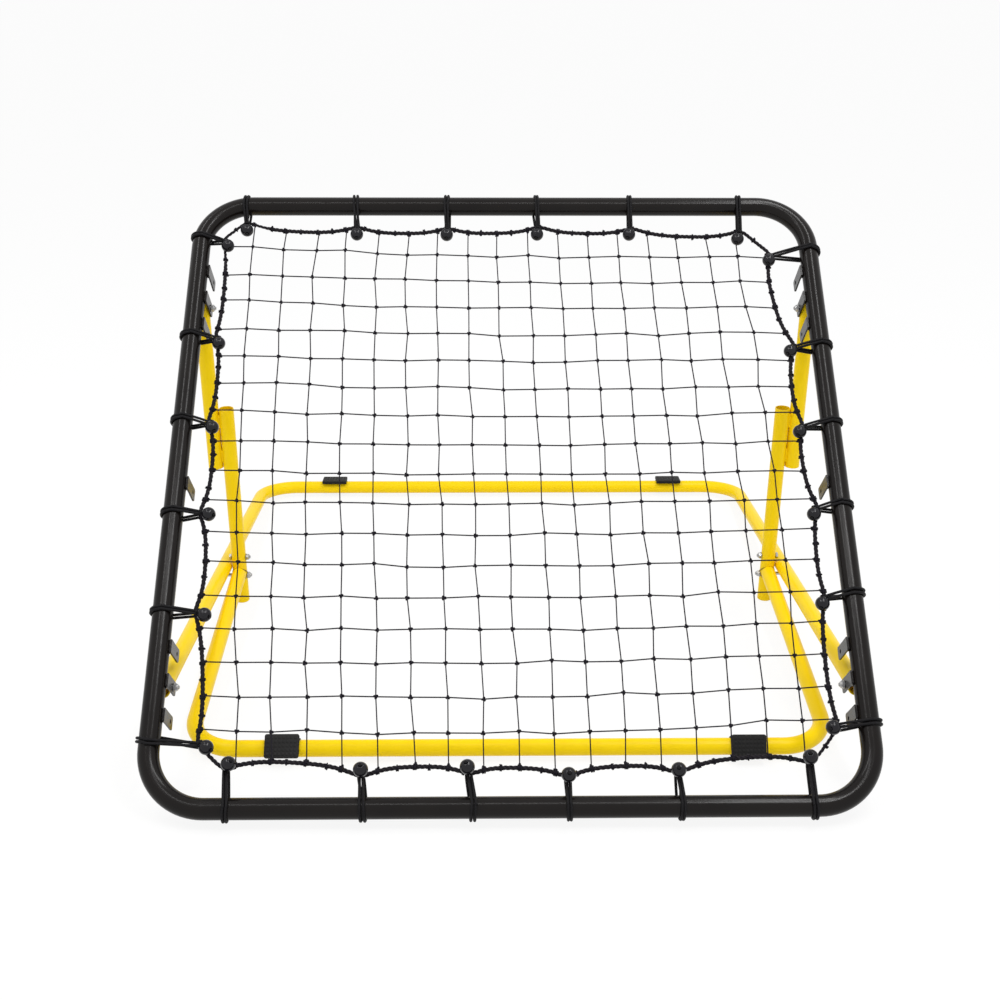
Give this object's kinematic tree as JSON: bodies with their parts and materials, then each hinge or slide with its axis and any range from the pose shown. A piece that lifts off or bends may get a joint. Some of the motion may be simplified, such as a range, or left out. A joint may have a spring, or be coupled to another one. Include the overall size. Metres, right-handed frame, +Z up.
{
  "type": "pitch back rebounder",
  "caption": "Ball rebounder: a square net in a tubular frame, held by elastic ties with balls and tilted on a tubular floor stand whose base slides on its bolts to set the angle.",
  "frame": {"origin": "on the floor under the middle of the whole object", "axes": "+Z up, +Y from the net's low front edge to the back bar, +X to the right as seen from the front"},
  "size_m": [1.04, 1.141, 0.7033],
  "materials": {
    "yellow_coat": "satin powder coat",
    "black_coat": "semi-gloss powder coat",
    "zinc_plate": "bright zinc plate",
    "foot_rubber": "matt moulded rubber",
    "net_cord": "knotted cord",
    "border_rope": "twisted rope",
    "elastic_cord": "woven elastic cord",
    "ball_plastic": "glossy moulded plastic"
  },
  "bodies": {
    "front_feet": {"front_left_foot": "foot_rubber", "front_right_foot": "foot_rubber"},
    "stand": {"front_base_tube": "yellow_coat", "left_post": "yellow_coat", "right_post": "yellow_coat", "left_strut": "yellow_coat", "right_strut": "yellow_coat", "left_post_bolts": "zinc_plate", "right_post_bolts": "zinc_plate", "post_bolt_washers": "zinc_plate", "post_bolt_nuts": "zinc_plate", "upper_pivot_bolts": "zinc_plate", "upper_pivot_washers": "zinc_plate", "upper_pivot_nuts": "zinc_plate"},
    "net_frame": {"net_frame_tube": "black_coat", "left_upper_tabs": "black_coat", "left_middle_tab": "black_coat", "left_lower_tabs": "black_coat", "right_upper_tabs": "black_coat", "right_middle_tab": "black_coat", "right_lower_tabs": "black_coat", "net_mesh": "net_cord", "border_rope": "border_rope", "top_ties": "elastic_cord", "bottom_ties": "elastic_cord", "left_ties": "elastic_cord", "right_ties": "elastic_cord", "top_tie_balls": "ball_plastic", "bottom_tie_balls": "ball_plastic", "left_tie_balls": "ball_plastic", "right_tie_balls": "ball_plastic"},
    "back_base": {"back_base_tube": "yellow_coat", "back_left_foot": "foot_rubber", "back_right_foot": "foot_rubber", "lower_pivot_bolts": "zinc_plate", "lower_pivot_washers": "zinc_plate", "lower_pivot_nuts": "zinc_plate"}
  },
  "joints": [
    {"name": "frame_tilt", "type": "hinge", "parent": "stand", "child": "net_frame", "pos_m": [0, 0.08948, 0.541], "axis": [-1, 0, 0], "range_deg": [0, 10]},
    {"name": "base_roll", "type": "hinge", "parent": "front_feet", "child": "stand", "pos_m": [0, -0.39852, 0.019], "axis": [1, 0, 0], "range_deg": [0, 3.3]},
    {"name": "back_base_swing", "type": "hinge", "parent": "net_frame", "child": "back_base", "pos_m": [0, -0.39354, 0.12112], "axis": [1, 0, 0], "range_deg": [0, 1.6]}
  ],
  "couplings": [
    {"joint": "base_roll", "follows": "frame_tilt", "ratio": 0.3251},
    {"joint": "back_base_swing", "follows": "frame_tilt", "ratio": 0.1504}
  ]
}
